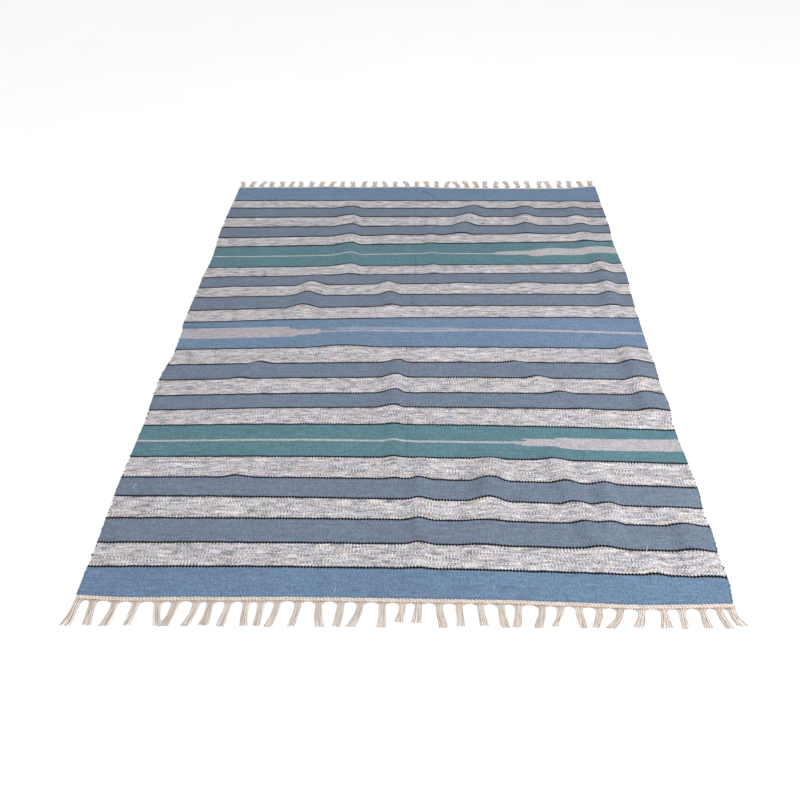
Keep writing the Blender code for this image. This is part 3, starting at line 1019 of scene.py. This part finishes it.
def strand_tree(tree):
    """Turns chains of edges into plied yarn: smooth, twisted plies with closed ends."""
    recipe, given = begin_tree(tree, "Chains", ("Ply Radius", "Ply Offset", "Twist Pitch"),
                               ("Plies", "Points", "Sides"))
    curve = recipe.value("GeometryNodeMeshToCurve", {"Mesh": given["Chains"]})
    curve = recipe.value("GeometryNodeCurveSplineType", {"Curve": curve},
                         spline_type="CATMULL_ROM")
    curve = recipe.value("GeometryNodeResampleCurve",
                         {"Curve": curve, "Count": given["Points"]}, mode="COUNT")
    plies = recipe.node("GeometryNodeDuplicateElements",
                        {"Geometry": curve, "Amount": given["Plies"]}, domain="SPLINE").outputs
    along = recipe.node("GeometryNodeSplineParameter").outputs["Length"]
    turns = recipe.math("DIVIDE", along, given["Twist Pitch"])
    share = recipe.math("DIVIDE", plies["Duplicate Index"], given["Plies"])
    phase = recipe.value("GeometryNodeInputNamedAttribute", {"Name": "phase"},
                         data_type="FLOAT")
    turns = recipe.math("ADD", recipe.math("ADD", turns, share), phase)
    angle = recipe.math("MULTIPLY", turns, math.tau)
    normal = recipe.value("GeometryNodeInputNormal")
    side = recipe.vector_math("CROSS_PRODUCT", recipe.value("GeometryNodeInputTangent"), normal)
    cosine = recipe.math("MULTIPLY", recipe.math("COSINE", angle), given["Ply Offset"])
    sine = recipe.math("MULTIPLY", recipe.math("SINE", angle), given["Ply Offset"])
    offset = recipe.vector_math("ADD", recipe.scale(normal, cosine), recipe.scale(side, sine))
    curve = recipe.value("GeometryNodeSetPosition", {"Geometry": plies[0], "Offset": offset})
    ring = recipe.value("GeometryNodeCurvePrimitiveCircle",
                        {"Resolution": given["Sides"], "Radius": given["Ply Radius"]},
                        mode="RADIUS")
    tubes = recipe.value("GeometryNodeCurveToMesh",
                         {"Curve": curve, "Profile Curve": ring, "Fill Caps": True})
    finish_tree(recipe, tubes, given["Material"])
    return tree


def grown(obj, tree, **values):
    """The object with a node tree's result as its plain mesh."""
    modifier = obj.modifiers.new(tree.name, "NODES")
    modifier.node_group = tree
    for item in tree.interface.items_tree:
        wanted = item.name.replace(" ", "_").lower()
        if item.in_out == "INPUT" and wanted in values:
            modifier[item.identifier] = values.pop(wanted)
    if values:
        raise ValueError(f"{tree.name} has no input for {sorted(values)}")
    return plain_mesh(obj)


# The field that holds the value of each kind of attribute
FIELDS = {"FLOAT": "value", "FLOAT_VECTOR": "vector", "FLOAT_COLOR": "color"}


def points_mesh(name, points, edges=(), **attributes):
    """A mesh of points, loose or in chains, with attributes given as (kind, values)."""
    mesh = bpy.data.meshes.new(name)
    mesh.from_pydata(points, edges, [])
    for key, (kind, values) in attributes.items():
        for item, value in zip(mesh.attributes.new(key, kind, "POINT").data, values):
            setattr(item, FIELDS[kind], value)
    return mesh


def chain_edges(first, count):
    """The edges that join so many points, one to the next."""
    return [(point, point + 1) for point in range(first, first + count - 1)]


def laid_grains(mesh, size, size_spread, tone_spread, seed, material):
    """An object with one grain of yarn on each point of a mesh."""
    length, width, height = size
    return grown(add_object(mesh.name, mesh), shared_tree("yarn grains", grain_tree),
                 grain_length=length, grain_width=width, grain_height=height,
                 size_spread=size_spread, tone_spread=tone_spread, seed=seed, material=material)


# The share of blue-grey turns at the edge of a speckled band; the others are pale
FLECK_TURNS = 0.35


def edge_colour(u, v, rng, settings):
    """The colour of one weft turn at a selvedge, as the bands, pinstripes and tongues have it."""
    nearest = nearest_pinstripe(v)
    if abs(nearest - v) < black_picks(nearest, settings) * settings.grain_height / 4:
        return reflectance("pinstripe")
    for tongue in TONGUES:
        point = tongue.points[0] if u < 0.5 else tongue.points[-1]
        if abs(v - point.middle) < point.half:
            return reflectance(tongue.yarn)
    yarn = band_yarn(v)
    if yarn == "speckled":
        yarn = "fleck" if rng.random() < FLECK_TURNS else "ground"
    return reflectance(yarn)


# The two selvedges: where they lie across, and the seed of their uneven turns
Selvedge = namedtuple("Selvedge", "name share seed")
SELVEDGES = rows_of(Selvedge, ("selvedge_left", 0.0, 3), ("selvedge_right", 1.0, 4))
# A turn's length, width and height, how far it slants and tips, how far in and how high its
# middle lies, how far a loose one stands out and up, and how few are loose
TURN_SIZE = (0.0058, 0.0038, 0.0046)
TURN_SLANT = 0.30
TURN_TIP = 0.1
TURN_INWARD = 0.0016
TURN_CENTRE = 0.0031
LOOSE_OUT = 0.0022
LOOSE_UP = 0.0010
LOOSE_POWER = 8
TURN_SIZE_SPREAD = 0.14
TURN_TONE_SPREAD = 0.08


def selvedge_points(selvedge, cloth, weave):
    """One point for each weft turn along a selvedge."""
    rng = random.Random(selvedge.seed)
    u = selvedge.share * cloth.width
    count = int(cloth.length / weave.turn_pitch)
    inward = 1.0 - 2.0 * selvedge.share
    points, turns, wefts = [], [], []
    for number in range(count):
        v = lerp(-cloth.length / 2, cloth.length / 2, (number + 0.5) / count)
        x, y, z = cloth_point(u, v, cloth)
        z += max(small_waves(x, y, cloth.unevenness), 0.0)
        loose = rng.random() ** LOOSE_POWER
        x += inward * (TURN_INWARD - LOOSE_OUT * loose)
        points.append((x, y, z + TURN_CENTRE + LOOSE_UP * loose))
        tip, slant = rng.uniform(-TURN_TIP, TURN_TIP), rng.uniform(-TURN_SLANT, TURN_SLANT)
        turns.append((0.0, tip, slant))
        wefts.append(opaque(edge_colour(selvedge.share, v, rng, weave)))
    return points_mesh(selvedge.name, points, turn=("FLOAT_VECTOR", turns),
                       weft=("FLOAT_COLOR", wefts))


def twine_row(end, share, fringe, cloth):
    """Places of one twined row's stitches along an end of the rug."""
    places = []
    left = cloth_point(0.0, end.side * cloth.length / 2, cloth)[0]
    right = cloth_point(cloth.width, end.side * cloth.length / 2, cloth)[0]
    count = int((right - left) / fringe.stitch_pitch)
    for number in range(count):
        x = lerp(left, right, (number + 0.5) / count)
        y = cloth.length / 2 + read_along(end.edge, x) + share * fringe.heading_depth
        places.append((x, end.side * y))
    return places


# The two rows of a twined heading: how deep they lie, their slant, height over the floor
TwineRow = namedtuple("TwineRow", "share slant height")
TWINE_ROWS = rows_of(TwineRow, (0.26, -0.52, 0.0032), (0.74, -0.46, 0.0029))
# A stitch's length, width and height, and how far it strays and slants from its row
STITCH_SIZE = (0.0108, 0.0050, 0.0046)
STITCH_SWAY = 0.0004
STITCH_SLANT = 0.12
STITCH_SIZE_SPREAD = 0.08
STITCH_TONE_SPREAD = 0.05


def heading_points(end, fringe, cloth):
    """One point for each stitch of the twined heading at an end of the rug."""
    rng = random.Random(end.seed + HEADING_SEED)
    points, turns = [], []
    for row in TWINE_ROWS:
        for x, y in twine_row(end, row.share, fringe, cloth):
            points.append((x, y + rng.uniform(-STITCH_SWAY, STITCH_SWAY), row.height))
            slant = row.slant + rng.uniform(-STITCH_SLANT, STITCH_SLANT)
            turns.append((0.0, 0.0, slant))
    return points_mesh(f"heading_{end.name}", points, turn=("FLOAT_VECTOR", turns))


def drawn_lays(rng):
    """Tassels by rule: evenly spaced but for their bunching, each leaning a little."""
    even = (LAST_ROOT - FIRST_ROOT) / (TASSELS - 1)
    lays = []
    last_tip = -math.inf
    for number in range(TASSELS):
        sway = 0.0 if number in (0, TASSELS - 1) else rng.uniform(-ROOT_SWAY, ROOT_SWAY)
        root = FIRST_ROOT + number * even + read_along(FAR_DRIFT, number) + sway
        tip = max(root + rng.uniform(-LEAN, LEAN), last_tip + LEAST_TIP_SPACE)
        lays.append(Lay(root, tip - root, rng.uniform(*TIP_WIDTHS), rng.uniform(0.0, LENGTH_SWAY)))
        last_tip = tip
    return lays


def tassel_lays(end):
    """The tassels of one end in metres: as they are listed, or else set by rule."""
    if end.lays is None:
        return drawn_lays(random.Random(end.seed))
    return [Lay(*(MILLIMETRE * size for size in lay)) for lay in end.lays]


# A warp yarn of a tassel, from under the heading to its trimmed tip: how far out, from the
# cloth's edge (0) over the heading's outer side (1) to the tip (2), how much of its place in the
# cloth it keeps, its height in layers, how far all the yarns are lifted there, and how much
# painted shade darkens and browns them there
Station = namedtuple("Station", "out woven height lift dusk")
STATIONS = rows_of(
    Station,
    (0.02, 1.00, 0.0, 0.0, 0.70), (0.70, 0.96, 0.1, 0.0, 0.70), (0.97, 0.74, 0.3, 0.0004, 0.65),
    (1.02, 0.42, 0.7, 0.0010, 0.55), (1.06, 0.15, 1.0, 0.0016, 0.28),
    (1.13, 0.02, 1.1, 0.0020, 0.08), (1.25, 0.00, 1.0, 0.0010, 0.0), (1.50, 0.00, 0.9, 0.0, 0.0),
    (1.70, 0.00, 0.8, 0.0, 0.0), (1.86, 0.00, 0.7, 0.0, 0.0), (2.00, 0.00, 0.6, 0.0, 0.0),
)
# The layer that each yarn of a tassel lies in, the lowest yarn's middle, and a layer's height
LAYERS = (0, 1, 0, 2, 1, 0, 2, 0, 1, 0, 1)
LOWEST_YARN = 0.0015
LAYER = 0.0017
# Half the width of cloth that a tassel gathers, and how far the tips of its outer yarns lie
# beyond its own width
WOVEN_HALF = 0.0192
SPLAY = 0.0012
# How the warp yarns of a tassel go their own way: aside at the tip, in a wave, and short
TIP_SWAY = 0.0018
STRAY_SHARE = 0.14
STRAY_REACH = 0.006
WAVE_REACH = 0.0020
WAVE_TURN = 6.0
SHORT_REACH = 0.004
YARN_TONES = (0.86, 1.10)
# How far round its curl a whole tassel turns from its root to its tip
CURL_TURN = 5.2
# The plies of a strand: how many, how far from its middle in ply radii, and how many points
# each has along it and around it
PLIES = 2
PLY_OFFSET = 0.9
TASSEL_MESH = {"points": 19, "sides": 5}


def yarn_chain(end, cloth, fringe, lay, curl, number, rng):
    """The points of one warp yarn of a tassel, counted from the left."""
    place = 2.0 * number / (fringe.yarns - 1) - 1.0
    tip = lay.root + lay.lean
    woven_x = lay.root + place * WOVEN_HALF
    outermost = cloth.width / 2 - fringe.ply_radius * 2.0
    woven_x = min(max(woven_x, -outermost), outermost)
    gathered_x = lay.root + place * fringe.gather
    stray = STRAY_REACH if rng.random() < STRAY_SHARE else TIP_SWAY
    tip_x = tip + place * (lay.wide / 2 + SPLAY) + rng.uniform(-stray, stray)
    trim = lerp(end.trim_left, end.trim_right, tip / cloth.width + 0.5) - lay.short
    trim -= SHORT_REACH * rng.random() ** 2
    layer = LAYERS[number % len(LAYERS)] * LAYER
    wave, phase = rng.uniform(0.0, WAVE_REACH), rng.uniform(0.0, math.tau)
    chain = []
    for station in STATIONS:
        beyond = max(station.out - 1.0, 0.0)
        x = lerp(lerp(gathered_x, tip_x, beyond * beyond), woven_x, station.woven)
        x += wave * beyond * math.sin(phase + WAVE_TURN * beyond)
        x += curl * math.sin(CURL_TURN * beyond)
        edge = cloth.length / 2 + read_along(end.edge, x)
        rim = edge + fringe.heading_depth
        y = lerp(edge, rim, station.out) if station.out < 1.0 else lerp(rim, trim, beyond)
        height = LOWEST_YARN + station.lift + layer * station.height
        chain.append((x, end.side * y, height))
    return chain


def tassel_chains(end, fringe, cloth):
    """The warp ends of one end of the rug, as chains of edges."""
    rng = random.Random(end.seed + TASSEL_SEED)
    curls = random.Random(end.seed + CURL_SEED)
    points, edges, tones, phases, painted_shades = [], [], [], [], []
    for lay in tassel_lays(end):
        curl = end.curl * curls.uniform(-1.0, 1.0)
        for number in range(fringe.yarns):
            chain = yarn_chain(end, cloth, fringe, lay, curl, number, rng)
            edges += chain_edges(len(points), len(chain))
            points += chain
            tones += [rng.uniform(*YARN_TONES)] * len(chain)
            phases += [rng.random()] * len(chain)
            # Painted shade that darkens and browns each yarn under and beside the heading, from
            # its stations
            painted_shades += [station.dusk for station in STATIONS]
    return points_mesh(f"tassels_{end.name}", points, edges, tone=("FLOAT", tones),
                       phase=("FLOAT", phases), dusk=("FLOAT", painted_shades))


# Ends of yarn that stick out of the cloth: where they start and end, and how high they rise
LooseThread = namedtuple("LooseThread", "from_x from_y to_x to_y rise")
LOOSE_THREADS = rows_of(
    LooseThread,
    (0.5390, -0.8660, 0.5490, -0.8430, 0.0035), (-0.6700, -0.6800, -0.6640, -0.6640, 0.0020),
    (-0.1470, -0.9830, -0.1450, -0.9720, 0.0012), (0.1960, -0.9700, 0.1975, -0.9620, 0.0010),
)


# The steps of a loose thread's chain, its tone, its size and its points along and around
THREAD_STEPS = 6
THREAD_TONE = 1.04
THREAD_SIZE = {"ply_radius": 0.00065, "ply_offset": 0.0004, "twist_pitch": 0.008}
THREAD_MESH = {"points": 16, "sides": 6}


def thread_chains(cloth):
    """The loose ends of yarn, each rooted in the cloth at both its ends."""
    points, edges = [], []
    for thread in LOOSE_THREADS:
        edges += chain_edges(len(points), THREAD_STEPS + 1)
        for step in range(THREAD_STEPS + 1):
            share = step / THREAD_STEPS
            x = lerp(thread.from_x, thread.to_x, share)
            y = lerp(thread.from_y, thread.to_y, share)
            arch = thread.rise * math.sin(math.pi * share)
            points.append((x, y, cloth_lift(x, y) + cloth.thickness + arch))
    return points_mesh("loose_threads", points, edges,
                       tone=("FLOAT", [THREAD_TONE] * len(points)),
                       phase=("FLOAT", [0.0] * len(points)))


class KILIM_OT_cloth(bpy.types.Operator):
    """Weave the cloth on its folds"""

    bl_idname = "kilim.cloth"
    bl_label = "Weave cloth"

    def execute(self, context):
        settings = context.scene.kilim_cloth
        weave = context.scene.kilim_weave
        cloth = add_object("cloth", woven_mesh(settings, weave))
        body = cloth.modifiers.new("thickness", "SOLIDIFY")
        body.thickness = settings.thickness
        body.offset = -1.0
        plain_mesh(cloth)
        for vertex in cloth.data.vertices:
            vertex.co.z = max(vertex.co.z, 0.0)
        dress(cloth, woven_cotton(weave, settings.width))
        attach(cloth, "root")
        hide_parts("field")
        return {"FINISHED"}


class KILIM_OT_selvedges(bpy.types.Operator):
    """Lay the weft turns along both selvedges"""

    bl_idname = "kilim.selvedges"
    bl_label = "Turn selvedges"

    def execute(self, context):
        cloth, weave = context.scene.kilim_cloth, context.scene.kilim_weave
        material = plain_yarn("selvedge cotton", None)
        for selvedge in SELVEDGES:
            obj = laid_grains(selvedge_points(selvedge, cloth, weave), TURN_SIZE,
                              TURN_SIZE_SPREAD, TURN_TONE_SPREAD, selvedge.seed, material)
            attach(obj, "root")
        return {"FINISHED"}


class KILIM_OT_headings(bpy.types.Operator):
    """Twine the heading at each end"""

    bl_idname = "kilim.headings"
    bl_label = "Twine headings"

    def execute(self, context):
        cloth, fringe = context.scene.kilim_cloth, context.scene.kilim_fringe
        material = plain_yarn("heading cotton", "heading")
        for end in ENDS:
            obj = laid_grains(heading_points(end, fringe, cloth), STITCH_SIZE,
                              STITCH_SIZE_SPREAD, STITCH_TONE_SPREAD, end.seed, material)
            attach(obj, "root")
        return {"FINISHED"}


class KILIM_OT_tassels(bpy.types.Operator):
    """Gather the warp ends into tassels at each end"""

    bl_idname = "kilim.tassels"
    bl_label = "Gather tassels"

    def execute(self, context):
        cloth, fringe = context.scene.kilim_cloth, context.scene.kilim_fringe
        tree = shared_tree("plied yarn", strand_tree)
        material = plain_yarn("warp cotton", "warp")
        for end in ENDS:
            mesh = tassel_chains(end, fringe, cloth)
            obj = grown(add_object(mesh.name, mesh), tree, ply_radius=fringe.ply_radius,
                        ply_offset=fringe.ply_radius * PLY_OFFSET, plies=PLIES,
                        twist_pitch=fringe.twist_pitch, material=material, **TASSEL_MESH)
            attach(obj, "root")
            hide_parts(f"fringe_{end.name}")
        return {"FINISHED"}


class KILIM_OT_threads(bpy.types.Operator):
    """Leave a few loose ends of yarn in the cloth"""

    bl_idname = "kilim.threads"
    bl_label = "Leave loose threads"

    def execute(self, context):
        mesh = thread_chains(context.scene.kilim_cloth)
        obj = grown(add_object(mesh.name, mesh), shared_tree("plied yarn", strand_tree),
                    plies=PLIES, material=plain_yarn("loose cotton", "slub"), **THREAD_SIZE,
                    **THREAD_MESH)
        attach(obj, "root")
        return {"FINISHED"}


# The camera as it was fitted to the photo: its place, its turn in degrees, and the width of
# its film in millimetres; and the turn of the overhead light
CAMERA_PLACE = (0.052, -2.1246, 1.4733)
CAMERA_TURN = (50.709, 0.927, 1.692)
FILM_WIDTH = 36.0
OVERHEAD_TURN = (12.0, -14.0, 0.0)
# The sky's strength at the horizon, as a share, and the height from which it is all there
HORIZON_SHARE = 0.35
FULL_SKY = 0.6
# The soft lamps at the two sides of the near end: the share of the lamp power and the place
Lamp = namedtuple("Lamp", "name share place")
LAMPS = rows_of(
    Lamp, ("left lamp", 0.25, (-1.6, -1.7, 1.8)), ("right lamp", 1.0, (2.0, -1.0, 1.5)))
# Faint patches to a metre of the floor, and how far they lighten and darken it
FLOOR_GRAINS = 3.0
FLOOR_GRAIN_REACH = 0.005


class KILIM_OT_stage(bpy.types.Operator):
    """Lay the floor and set up the light and the camera"""

    bl_idname = "kilim.stage"
    bl_label = "Set stage"

    def execute(self, context):
        settings = context.scene.kilim_stage
        half = settings.floor_size / 2
        mesh = bpy.data.meshes.new("floor")
        corners = [(-half, -half, 0.0), (half, -half, 0.0), (half, half, 0.0), (-half, half, 0.0)]
        mesh.from_pydata(corners, [], [(0, 1, 2, 3)])
        floor = add_object("floor", mesh)
        recipe, shader, material = new_material("pale floor", FLOOR_ROUGHNESS)
        place = recipe.node("ShaderNodeTexCoord").outputs["Object"]
        shade = recipe.about(1.0, FLOOR_GRAIN_REACH, recipe.noise(place, scale=FLOOR_GRAINS))
        colour = recipe.scale(tuple(settings.floor_colour), shade)
        recipe.join(colour, shader.inputs["Base Color"])
        shader.inputs["Sheen Weight"].default_value = 0.0
        floor.data.materials.append(material)
        self.light(context, settings)
        self.camera(context, settings)
        return {"FINISHED"}

    def light(self, context, settings):
        world = bpy.data.worlds.new("white room")
        world.use_nodes = True
        sky = world.node_tree.nodes["Background"]
        sky.inputs["Color"].default_value = (1.0, 1.0, 1.0, 1.0)
        recipe = Recipe(world.node_tree)
        direction = recipe.node("ShaderNodeTexCoord").outputs["Generated"]
        height = recipe.node("ShaderNodeSeparateXYZ", {0: direction}).outputs[2]
        strength = recipe.span(height, 0.0, FULL_SKY, HORIZON_SHARE * settings.sky,
                               settings.sky)
        recipe.join(strength, sky.inputs["Strength"])
        context.scene.world = world
        data = bpy.data.lights.new("overhead", "SUN")
        data.energy = settings.overhead
        data.angle = settings.softness
        overhead = add_object("overhead", data)
        overhead.rotation_euler = [math.radians(angle) for angle in OVERHEAD_TURN]
        for lamp in LAMPS:
            data = bpy.data.lights.new(lamp.name, "AREA")
            data.shape = "SQUARE"
            data.size = settings.lamp_size
            data.energy = settings.lamp * lamp.share
            soft = add_object(lamp.name, data)
            soft.location = lamp.place
            soft.rotation_euler = (-Vector(lamp.place)).to_track_quat("-Z", "Y").to_euler()

    def camera(self, context, settings):
        data = bpy.data.cameras.new("camera")
        data.sensor_width = FILM_WIDTH
        data.lens = settings.lens
        camera = add_object("camera", data)
        camera.location = CAMERA_PLACE
        camera.rotation_euler = [math.radians(angle) for angle in CAMERA_TURN]
        context.scene.camera = camera
        context.scene.view_settings.view_transform = "Standard"


class KILIM_PT_panel(bpy.types.Panel):
    """The steps that weave the kilim, in order"""

    bl_label = "Striped kilim"
    bl_idname = "KILIM_PT_panel"
    bl_space_type = "VIEW_3D"
    bl_region_type = "UI"
    bl_category = "Kilim"

    def draw(self, context):
        layout = self.layout
        for key, group in SETTINGS.items():
            box = layout.box()
            for name in group.__annotations__:
                box.prop(getattr(context.scene, key), name)
        for step in STEPS:
            layout.operator(step.bl_idname)


SETTINGS = {
    "kilim_cloth": ClothSettings,
    "kilim_weave": WeaveSettings,
    "kilim_fringe": FringeSettings,
    "kilim_stage": StageSettings,
}
STEPS = (
    KILIM_OT_cloth,
    KILIM_OT_selvedges,
    KILIM_OT_headings,
    KILIM_OT_tassels,
    KILIM_OT_threads,
    KILIM_OT_stage,
)
CLASSES = (*SETTINGS.values(), *STEPS, KILIM_PT_panel)


def register():
    for made in CLASSES:
        bpy.utils.register_class(made)
    for key, group in SETTINGS.items():
        setattr(bpy.types.Scene, key, bpy.props.PointerProperty(type=group))


def unregister():
    for key in SETTINGS:
        delattr(bpy.types.Scene, key)
    for made in reversed(CLASSES):
        bpy.utils.unregister_class(made)


def main():
    register()
    bpy.ops.kilim.cloth()
    bpy.ops.kilim.selvedges()
    bpy.ops.kilim.headings()
    bpy.ops.kilim.tassels()
    bpy.ops.kilim.threads()
    bpy.ops.kilim.stage()


if __name__ == "__main__":
    main()
